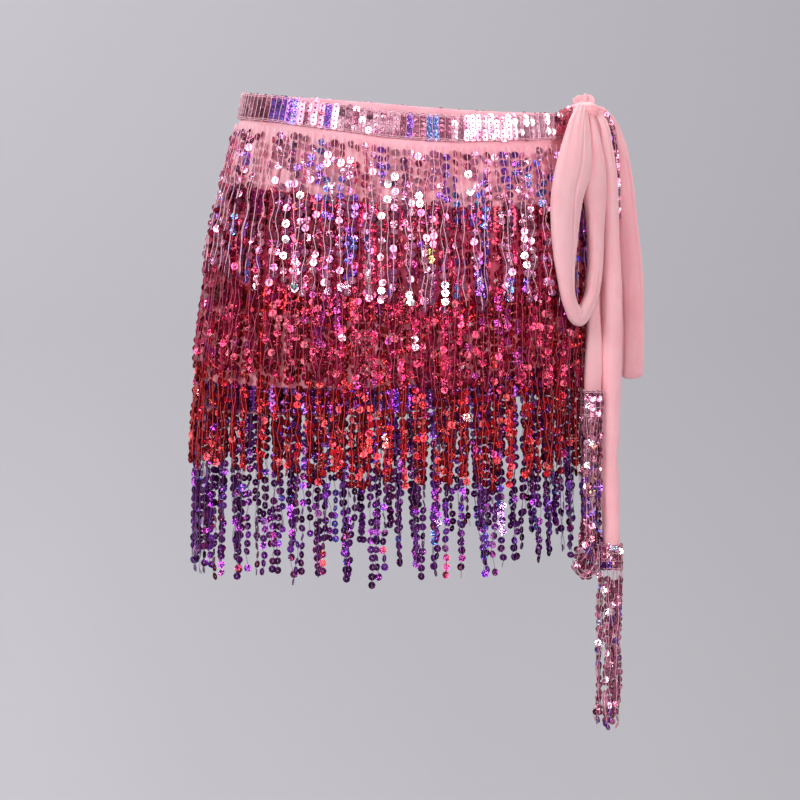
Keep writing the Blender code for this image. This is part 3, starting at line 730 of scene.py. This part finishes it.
# stations in mm from the knot: across, ahead, up, width, curl. creases: place across the strip,
# width, depth in mm, how they drift or slant, and the run in metres between which they show
ties = {
    "front": {
        "curl": 118, "facing": 40, "wide": 72, "gathered": (0, -1),
        "creases": [
            dict(at=0.50, wide=0.013, deep=-1.0, slant=-0.75, run=(0.0, 0.19)),
            dict(at=0.28, wide=0.12, deep=0.5),
            dict(at=0.66, wide=0.07, deep=-0.6, drift=0.03, run=(0.0, 0.07)),
            dict(at=0.8, wide=0.1, deep=0.4),
            dict(at=0.55, wide=0.03, deep=-0.7, drift=0.03, run=(0.16, 0.24))],
        "stations": [
            (-3, -9, -1, 9, 3), (-6, -18.5, -18.5, 22, 4.5), (-10, -28, -46, 33, 6), (-16, -34, -70, 31, 6),
            (-18, -36, -91.5, 28, 6), (-18.4, -37.6, -117, 21, 5.5), (-17.4, -38, -137, 15, 4.5),
            (-14.8, -36.2, -154, 12.5, 4.5), (-7, -29, -167, 13, 4.5), (2.2, -20, -152.5, 11.5, 4.5),
            (5.8, -15, -136, 12.5, 4.5), (7.2, -13.4, -116, 13.5, 4.5), (7, -12.8, -90.4, 17, 5),
            (6.8, -11.8, -69, 21, 5), (8.2, -9.5, -44, 15, 4), (5.2, -8, -17.6, 8, 3), (2, -2.5, -4, 5, 2)]},
    "side": {
        "curl": 118, "across": np.array([-1.0, 0, 0]), "wide": 36, "gathered": (0, -1),
        "creases": [
            dict(at=0.3, wide=0.07, deep=-0.7, drift=0.03, run=(0.0, 0.17)),
            dict(at=0.55, wide=0.14, deep=0.5),
            dict(at=0.74, wide=0.03, deep=-0.9, drift=0.02, run=(0.14, 0.26))],
        "stations": [
            (4.5, 2.5, -0.5, 8, 2), (12.5, 8.8, -3.8, 9, 2.5), (20.5, 13, -13, 10, 3), (27, 17, -28, 11, 3),
            (31, 21.3, -50, 13, 3), (33.2, 25.3, -71, 15, 3), (35.2, 28.3, -94, 16.5, 3),
            (37.6, 30.3, -121, 17.5, 3), (39, 31.3, -146, 18, 3), (39.6, 31.8, -174, 17.5, 3),
            (39.4, 32.8, -201, 17, 2.5), (39.2, 38.3, -211.5, 17, 2), (39.4, 43.8, -202, 17, 2.5),
            (39.6, 45.8, -174, 17.5, 3), (39, 46.3, -146, 18, 3), (37.5, 46.3, -121, 17.5, 3),
            (34.8, 45.8, -94, 16, 3), (31.8, 43.3, -71, 14.5, 3), (28.5, 39.3, -50, 12.5, 3),
            (24, 32.3, -30, 11, 3), (18.5, 24.3, -17, 9.5, 3), (12, 16.3, -8.5, 9, 2.5), (5, 9.5, -3, 8, 2)]},
    "short": {
        "curl": 140, "facing": 40, "wide": 36, "gathered": (0,),
        "creases": [
            dict(at=0.4, wide=0.03, deep=-0.6, drift=0.02, run=(0.03, 0.14)),
            dict(at=0.6, wide=0.09, deep=-0.5, drift=0.03)],
        "stations": [
            (2, 5, -4, 6, 2.5), (5, 6.3, -22, 8, 2.5), (8, 6.6, -51, 10, 3), (9, 5, -88, 11, 3.5),
            (8.9, 2.6, -136, 14, 4), (7.4, -2.2, -181, 16, 4.5), (5.9, -7, -204, 16, 4.5),
            (4.9, -9, -224, 15.5, 4.5), (4.5, -9, -244, 15, 4.5)]},
    "long": {
        "curl": 140, "facing": 25, "wide": 36, "gathered": (0,),
        "creases": [
            dict(at=0.36, wide=0.03, deep=-0.8, drift=0.02, run=(0.0, 0.12)),
            dict(at=0.6, wide=0.12, deep=0.5, drift=0.03),
            dict(at=0.7, wide=0.06, deep=-0.5, drift=0.03, run=(0.18, 0.33))],
        "stations": [
            (9, 0.5, -4, 6, 2.5), (14.4, -0.3, -16.5, 9, 2.5), (16, 0, -30, 11, 3),
            (19.5, 1.3, -51, 10.5, 3.5), (20.5, 1.3, -69, 11, 3.5), (20.6, 0.3, -109, 13.5, 4),
            (21.2, -1.4, -152, 16.5, 4.5),
            (20.8, -1, -200, 16.5, 4.5), (19.4, 0.3, -252, 16.5, 4.5), (18.6, 0.3, -276, 14.5, 4.5),
            (19.4, 0.3, -302, 16.5, 4.5), (20, 0.3, -325, 14, 5), (20, 0.3, -345, 14, 5),
            (20, 0.3, -365, 14, 5)]},
}


def tiePath(tie, steps):
    read = throughMarks(tie["stations"], (len(tie["stations"]) - 1) * steps + 1)
    return read[:, :3] + knotMiddle, read[:, 3], read[:, 4]


def tieFrames(path, tie):
    along = unit(np.gradient(path, axis=0))
    if "across" in tie:
        side = unit(tie["across"] - along * (along @ tie["across"])[:, None])
    else:
        side = unit(np.cross(along, facingWay(tie["facing"])))
    return side, unit(np.cross(side, along))


def curled(angle, width, curl):
    # a point of the strip's curled section, and its normal
    flat = np.stack([np.sin(angle) * width / 2, np.cos(angle) * curl], -1)
    return flat, unit(np.stack([np.sin(angle) * curl, np.cos(angle) * width / 2], -1))


def creasePush(crease, share, run):
    # a groove or ridge that runs along the strip, and fades at its ends
    middle = crease["at"] + crease.get("slant", 0) * run
    middle += crease.get("drift", 0) * math.sin(run / (45 * mm) + crease["at"] * 20)
    low, high = crease.get("run", (0, 9))
    fade = np.clip((run - low) / (20 * mm), 0, 1) * np.clip((high - run) / (20 * mm), 0, 1)
    return crease["deep"] * mm * np.exp(-((share - middle) / crease["wide"]) ** 2) * fade


def tieSheet(name, tie):
    # a gathered strip of chiffon, and the length and width that it has laid flat
    path, width, curl = tiePath(tie, 8)
    side, out = tieFrames(path, tie)
    lengths = lengthsAlong(path)
    share = np.linspace(0, 1, tie["wide"] + 1)
    angle = np.radians(tie["curl"]) * (2 * share - 1)
    verts = np.zeros((len(path), len(share), 3))
    for i, run in enumerate(lengths):
        flat, n = curled(angle, width[i], curl[i])
        push = sum(creasePush(crease, share, run) for crease in tie["creases"])
        # gathers by the knot, and small crumples all along
        near = min(abs(run - lengths[e]) for e in tie["gathered"])
        push += 0.45 * mm * math.exp(-near / (22 * mm)) * np.sin(share * 40 + 3 * run / (50 * mm))
        push += 0.30 * mm * np.sin(share * 9 + run / (19 * mm)) * np.sin(run / (27 * mm) + 2)
        push += 0.10 * mm * np.sin(share * 31 - run / (7.1 * mm)) * np.sin(run / (13 * mm) + share * 5)
        flat = flat + n * push[:, None]
        verts[i] = path[i] + side[i] * flat[:, :1] + out[i] * flat[:, 1:]
    ob = link(name, verts.reshape(-1, 3), gridFaces(len(path), len(share)), chiffon, True)
    faceOutwards(ob)
    thicken(ob, 0.7 * mm)
    return ob, float(lengths[-1]), float(stepLengths(verts[len(path) // 3]).sum())


frontLoop, frontRun, frontWide = tieSheet("chiffon_loop_front", ties["front"])
sideLoop, sideRun, sideWide = tieSheet("chiffon_loop_side", ties["side"])
shortTail, shortRun, shortWide = tieSheet("chiffon_tail_short", ties["short"])
longTail, longRun, longWide = tieSheet("chiffon_tail_long", ties["long"])
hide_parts("bow_loop_front")
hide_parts("bow_loop_side")
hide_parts("tail_short")
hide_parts("tail_long")
shown += [frontLoop, sideLoop, shortTail, longTail]


def knotLump(name):
    # the tie wrapped once round itself
    segments, rings, power = knotCut["segments"], knotCut["rings"], knotCut["power"]
    middle = knotMiddle - upright * knotCut["sink"]
    verts, faces = [], []
    for r in range(rings + 1):
        lat = math.pi * (r / rings - 0.5)
        for s in range(segments):
            lon = 2 * math.pi * s / segments
            way = np.array([math.cos(lat) * math.cos(lon), math.cos(lat) * math.sin(lon), math.sin(lat)])
            reach = float((np.abs(way) ** power).sum() ** (-1 / power))
            # one broad wrap over the middle, the rest tucked under it, with gathers that fan out
            wrap = math.exp(-((way[1] * 0.7 + 0.5 * way[2] + 0.1) / 0.5) ** 2)
            gathers = math.sin(11 * way[1] + 3 * way[2] + 2 * way[0]) * (1 - wrap) * 0.05
            lines = 0.035 * math.sin(13 * way[2] + 6 * way[1] + 2 * math.sin(5 * way[1])) * wrap
            ahead, aside, up = way * reach * (0.88 + 0.10 * wrap + gathers + lines)
            verts.append(middle + knotOut * ahead * knotCut["deep"] + knotAlong * aside * knotCut["wide"]
                         + upright * up * knotCut["tall"])
    for r in range(rings):
        for s in range(segments):
            n = (s + 1) % segments
            faces.append((r * segments + s, r * segments + n, (r + 1) * segments + n, (r + 1) * segments + s))
    ob = link(name, verts, faces, chiffon, True)
    faceOutwards(ob, 0.01 * mm)
    return ob


knot = knotLump("chiffon_knot")
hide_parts("knot")

earCut = {"rows": 14, "wide": 70, "thick": 0.35 * mm, "half": 7.2, "flare": 2.6, "tall": 8.2, "step": 1.2}


def earRuffle(name):
    # the gathered end of the tie that stands up out of the knot, two ruffled layers, in mm
    rows, wide = earCut["rows"], earCut["wide"]
    base = knotMiddle + np.array([-1.2, -0.6, 1.2]) * mm
    aside, ahead = np.array([0.94, 0.34, 0.0]), facingWay(20)
    verts = np.zeros((2, rows, wide + 1, 3))
    for layer in range(2):
        for r in range(rows):
            up = r / (rows - 1)
            for c in range(wide + 1):
                s = c / wide * 2 - 1
                half = earCut["half"] + earCut["flare"] * up**0.6 - earCut["step"] * layer
                ruffle = (0.4 + 0.9 * up) * math.sin(s * (7 + 3 * layer) + 0.6 + 2 * layer + 1.5 * s * s)
                ruffle += 0.35 * up * math.sin(s * 19 + up * 4 + layer) - 2.2 * layer
                top = earCut["tall"] - earCut["step"] * layer - 3.4 * abs(s) ** 3
                top += 1.0 * math.sin(s * 3.1 + 0.5 + layer) + 0.4 * math.sin(s * 12 + layer)
                lean = 0.7 * up * math.sin(s * 8 + 2 * up) - 0.6 * up
                spot = aside * (s * half + lean) + ahead * ruffle + upright * top * up
                verts[layer, r, c] = base + spot * mm
    faces = gridFaces(rows, wide + 1)
    second = [tuple(v + rows * (wide + 1) for v in quad) for quad in faces]
    ob = link(name, verts.reshape(-1, 3), faces + second, chiffon, True)
    thicken(ob, earCut["thick"])
    return ob


ear = earRuffle("chiffon_knot_ear")
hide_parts("knot_ear")
shown += [knot, ear]
print("bow ready")


def sequinPatch(name, places, normals, seed, radius, palette):
    # a few discs sewn close together, like scales
    rng = np.random.default_rng(seed)
    ups = np.tile(upright, (len(places), 1))
    leaned = turned(unit(normals), ups, rng.normal(0, 0.25, len(places)), rng.normal(0.1, 0.12, len(places)))
    tints = pickTints(places, rng, palettes[palette], [], 0.4)
    return placeDiscs(name, places, leaned, ups, tints, radius, pinkFilm, 10)


# the band's end, gathered up to the knot
endPlaces, endNormals = [], []
for column in range(5):
    turn = np.full(discRows, math.radians(65 + 2.1 * column))
    level = np.arange(discRows)
    tall = topLine(turn) + (-1.5 + 1.5 * column) * mm - level * 3.4 * mm
    tall += 0.5 * mm * np.sin(level * 2.0 + column)
    endPlaces.append(skirtPlace(turn, tall, onCloth + (1.8 + 0.9 * column) * mm + 0.3 * mm * (level % 2)))
    endNormals.append(ringOut(turn, tall) + 1.6 * facingWay(15))
bandEnd = sequinPatch("band_end_sequins", np.concatenate(endPlaces), np.concatenate(endNormals), 71,
                      2.7 * mm, "end")
# the sequined edge that hangs beside the far loop: across, ahead and up in mm from the knot
stripTable = [(15.5, 6.5, -4), (18.5, 8.5, -9), (21.3, 10.5, -17), (23.2, 12.5, -28), (24.6, 15, -42),
              (25.4, 18, -58), (25.9, 20, -72), (26.2, 21, -84)]
stripLine = throughMarks(stripTable, 30) + knotMiddle
stripPlaces = np.concatenate([stripLine, stripLine + np.array([1.9, 0.4, -1.4]) * mm])
stripNormals = np.tile(facingWay(25), (len(stripPlaces), 1))
strip = sequinPatch("band_strip_sequins", stripPlaces, stripNormals, 72, 2.0 * mm, "mauve")
stripEdges = [stripLine + np.array([x, -1.0, 0]) * mm for x in (-1.4, 0.9, 3.2)]
stripThread = placeThreads("band_strip_threads", stripEdges, 0.3 * mm, tasselThread)
shown += [bandEnd, strip, stripThread]

# tassels on the tails' ends. leans: how far the two bunches of strands lean, in mm. coils: strands
# that turn back up, as places in mm from the foot of the tie: across, ahead, up
tassels = {
    "tassel_short": {
        "tie": ties["short"], "seed": 61, "length": 122 * mm, "leans": (1.5, 0.5), "bare": 0.5 * mm,
        "coils": [
            [(-4, -5, -2), (-4.5, -6, -60), (-5, -6.5, -92), (-10, -7, -101), (-15.5, -7, -111),
             (-14.5, -7, -120), (-9, -7, -125), (-2.5, -7, -126), (4, -6.5, -119), (6, -6, -106)],
            [(-2, -5, -2), (-2.5, -6, -60), (-3, -7, -95), (-8, -8, -103), (-12.5, -8, -112),
             (-10.5, -8, -119), (-4, -8, -122), (2.5, -7.5, -114), (4, -7, -100)],
            [(0, -5, -2), (0, -6, -62), (-1, -7.5, -98), (-5, -8.5, -108), (-11, -8.5, -115), (-12, -8, -122),
             (-6, -8, -124), (0, -7.5, -118), (1, -7, -104)]]},
    "tassel_long": {
        "tie": ties["long"], "seed": 62, "length": 120.5 * mm, "leans": (8.0, 1.5), "bare": 7 * mm,
        "coils": []},
}


def onTassel(foot, level, angle, lift):
    # a place level down the tie's end and angle round it, lifted off the cloth, and its normal
    flat, n = curled(angle, foot["width"], foot["curl"])
    axes = np.stack([foot["side"], foot["out"]])
    down = foot["top"] + (foot["end"] - foot["top"]) * np.asarray(level)[..., None]
    return down + (flat + n * np.asarray(lift)[..., None]) @ axes, n @ axes


def tasselTape(foot, rng):
    # discs in columns round the tie's end, and the threads that hold them
    columns, count, threads = 9, 9 * discRows, []
    angle = np.radians(np.repeat(np.linspace(-128, 128, columns), discRows)) + rng.normal(0, 0.05, count)
    level = np.tile((np.arange(discRows) + 0.5) / discRows, columns) + rng.normal(0, 0.025, count)
    places, normals = onTassel(foot, level, angle, 2.2 * mm + rng.uniform(0, 0.4 * mm, count))
    ups = np.tile(upright, (count, 1))
    normals = turned(unit(normals), ups, rng.normal(0, 0.15, count), rng.normal(0.05, 0.12, count))
    fine = np.radians(np.linspace(-138, 138, 40))
    for line in (0.0, 0.06, 0.35, 0.65, 0.94, 1.0):
        level = line + 0.015 * np.sin(fine * 7 + line * 9)
        threads.append(onTassel(foot, level, fine, 2.8 * mm + 0.2 * mm * np.sin(fine * 9))[0])
    for a in np.radians(np.linspace(-136, 136, columns + 1)):
        threads.append(onTassel(foot, np.linspace(0.02, 0.98, 5), a + rng.normal(0, 0.04, 5), 2.8 * mm)[0])
    return (places, normals, ups), threads


def tasselCurves(foot, cut, rng):
    # strands in two bunches, and the coils, each with the way that its discs face
    count, curves, end = 15, [], foot["end"]
    for s in range(count):
        a = math.radians(-155 + 310 * (s + 0.5) / count)
        spot, normal = onTassel(foot, 1.0, a, 1.4 * mm)
        down = np.linspace(0, cut["length"] + rng.normal(0, 4.5 * mm), 40)
        part = down / cut["length"]
        lean = (cut["leans"][0 if math.sin(a) > -0.15 else 1] + rng.normal(0, 1.3)) * mm
        squeeze = 1 - 0.30 * np.minimum(1, part * 1.5) + 0.06 * np.sin(part * 6 + s)
        curve = end + (spot - end) * squeeze[:, None] - np.outer(down, upright)
        curve += np.outer(lean * np.minimum(1, part) ** 0.8, foot["side"])
        curve += np.outer(rng.normal(0, 1.2) * mm * part, foot["out"])
        wiggle = rng.uniform(0.4, 1.1) * mm * np.sin(down / rng.uniform(6 * mm, 12 * mm) + s * 2.4)
        curves.append((curve + np.outer(wiggle * np.minimum(1, part * 5), foot["side"]), normal))
    return curves + [(end + throughMarks(coil, 44), facingWay(20)) for coil in cut["coils"]]


def tasselStrand(foot, curve, away, bare, rng):
    # discs along one strand, and its thread
    run = lengthsAlong(curve)

    def read(at):
        return np.stack([np.interp(at, run, column) for column in curve.T], -1)

    spots = np.arange(bare + rng.uniform(0, 4) * mm, run[-1], rng.uniform(5.0, 5.8) * mm)
    spots = spots[rng.random(len(spots)) > 0.04] + rng.normal(0, 0.4 * mm)
    along = unit(read(spots - 2 * mm) - read(spots + 2 * mm) + np.array([0, 0, 1e-6]))
    flat = unit(away - along * (along @ away)[:, None])
    twist = rng.normal(0, 0.45) + rng.normal(0, 0.35, len(spots)) + 0.4 * np.sin(spots / (30 * mm))
    twist = someEdgeOn(twist, rng, 0.22, 0.8)
    normals = turned(flat, along, twist, rng.normal(0, 0.2, len(spots)))
    sway = rng.uniform(0.3, 1.0) * mm * np.sin(run / (4.5 * mm) + rng.uniform(0, 6))
    return (read(spots), normals, along), curve + away * 1.0 * mm + np.outer(sway, foot["side"])


def tassel(node, cut):
    rng = np.random.default_rng(cut["seed"])
    path, width, curl = tiePath(cut["tie"], 1)
    side, out = tieFrames(path, cut["tie"])
    foot = {"top": path[-2], "end": path[-1], "side": side[-1], "out": out[-1], "width": width[-1],
            "curl": curl[-1]}
    angles = np.radians(np.linspace(-140, 140, 41))
    tapeVerts = [onTassel(foot, k / 3, angles, 1.6 * mm)[0] for k in range(4)]
    tape = link("tape_" + node, np.concatenate(tapeVerts), gridFaces(4, len(angles), True), mauveTape, True)
    thicken(tape, 0.4 * mm)
    onTape, threads = tasselTape(foot, rng)
    sewn = [onTape]
    for curve, away in tasselCurves(foot, cut, rng):
        onStrand, thread = tasselStrand(foot, curve, away, cut["bare"], rng)
        sewn.append(onStrand)
        threads.append(thread)
    places, normals, ups = map(np.concatenate, zip(*sewn))
    tints = pickTints(places, rng, palettes["mauve"], [violetZone], 0.5)
    facing = towardsGlint(places, rng, 0.03)
    lit = (rng.random(len(places)) < 0.02) & ((facing * normals).sum(1) > 0.4)
    # painted highlight: a few discs are turned to the lamp and painted near white
    normals[lit], tints[lit] = facing[lit], glintPaintedPale
    discs = placeDiscs("sequins_" + node, places, normals, ups, tints, 2.8 * mm, pinkFilm, 8)
    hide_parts(node)
    return [tape, discs, placeThreads("threads_" + node, threads, 0.26 * mm, tasselThread)]


for node, cut in tassels.items():
    shown += tassel(node, cut)
print("tassels ready")

for ob in shown:
    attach(ob, "root")

# floor, light and camera. the backdrop stands far enough away to walk round the scarf
stage = {
    "far": 1.5, "half": 4.5, "near": -4.0, "flatTo": 0.3, "floor": -0.95, "back": 1.3, "top": 3.5,
    "bend": 0.8, "bendSteps": 12, "colour": (0.485, 0.475, 0.503, 1), "roughness": 0.9,
}


def fromCamera(place):
    return tuple(float(c) for c in viewFrom + (np.array(place) - viewFrom) * stage["far"])


profile = [(stage["near"], stage["floor"]), (stage["flatTo"], stage["floor"])]
for k in range(stage["bendSteps"] + 1):
    a = math.pi / 2 * k / stage["bendSteps"]
    profile.append((stage["back"] - stage["bend"] * (1 - math.sin(a)),
                    stage["floor"] + stage["bend"] * (1 - math.cos(a))))
profile.append((stage["back"], stage["top"]))
wallVerts = [fromCamera((x, y, z)) for y, z in profile for x in (-stage["half"], stage["half"])]
wallMat, wallTree, wallShader = nodeSetup("paleGrey")
setSockets(wallTree, wallShader, {"Base Color": stage["colour"], "Roughness": stage["roughness"]})
backdrop = link("backdrop", wallVerts, gridFaces(len(profile), 2, True), wallMat, True)

# place, target, size in metres, power in watts
lights = {
    "keyLeft": ((-1.7, -2.1, 1.0), (0, 0, -0.2), (1.1, 1.3), 72),
    "fillRight": ((1.8, -1.9, 0.4), (0, 0, -0.2), (0.9, 1.3), 43),
    "frontGlint": (tuple(glintLight), (0, 0, -0.1), (0.26, 0.26), 14),
    "topSoft": ((0.0, 0.1, 1.9), (0, 0, -0.2), (1.6, 1.0), 25),
    "wallLeft": (fromCamera((-2.2, 0.3, 1.7)), fromCamera((-1.1, 1.3, 0.1)), (1.2, 1.2), 142),
    "wallRight": (fromCamera((1.6, 0.0, 1.9)), fromCamera((0.8, 1.3, -0.1)), (1.5, 1.2), 0.5),
    "wallEven": ((0, 0.9, 2.6), fromCamera((0, 1.3, -0.2)), (2.4, 0.8), 15),
}
for name, (place, target, size, power) in lights.items():
    light = bpy.data.lights.new(name, "AREA")
    light.shape = "RECTANGLE"
    light.size, light.size_y = size
    light.energy = power
    lamp = bpy.data.objects.new(name, light)
    lamp.location = place
    lamp.rotation_euler = (Vector(target) - Vector(place)).to_track_quat("-Z", "Y").to_euler()
    bpy.context.scene.collection.objects.link(lamp)

world = bpy.data.worlds.new("studio")
world.use_nodes = True
setSockets(world.node_tree, world.node_tree.nodes["Background"],
           {"Color": (0.80, 0.80, 0.86, 1), "Strength": 0.13})
bpy.context.scene.world = world
bpy.context.scene.view_settings.view_transform = "Standard"

cameraData = bpy.data.cameras.new("camera")
cameraData.sensor_width = 36
cameraData.lens = 146.25
cameraData.clip_end = 20
camera = bpy.data.objects.new("camera", cameraData)
camera.location = viewFrom
camera.rotation_euler = (math.pi / 2, 0, 0)
bpy.context.scene.collection.objects.link(camera)
bpy.context.scene.camera = camera

total = 0
for ob in shown:
    ob.data.calc_loop_triangles()
    total += len(ob.data.loop_triangles) * (2 if ob.modifiers else 1)
print("triangles", total)
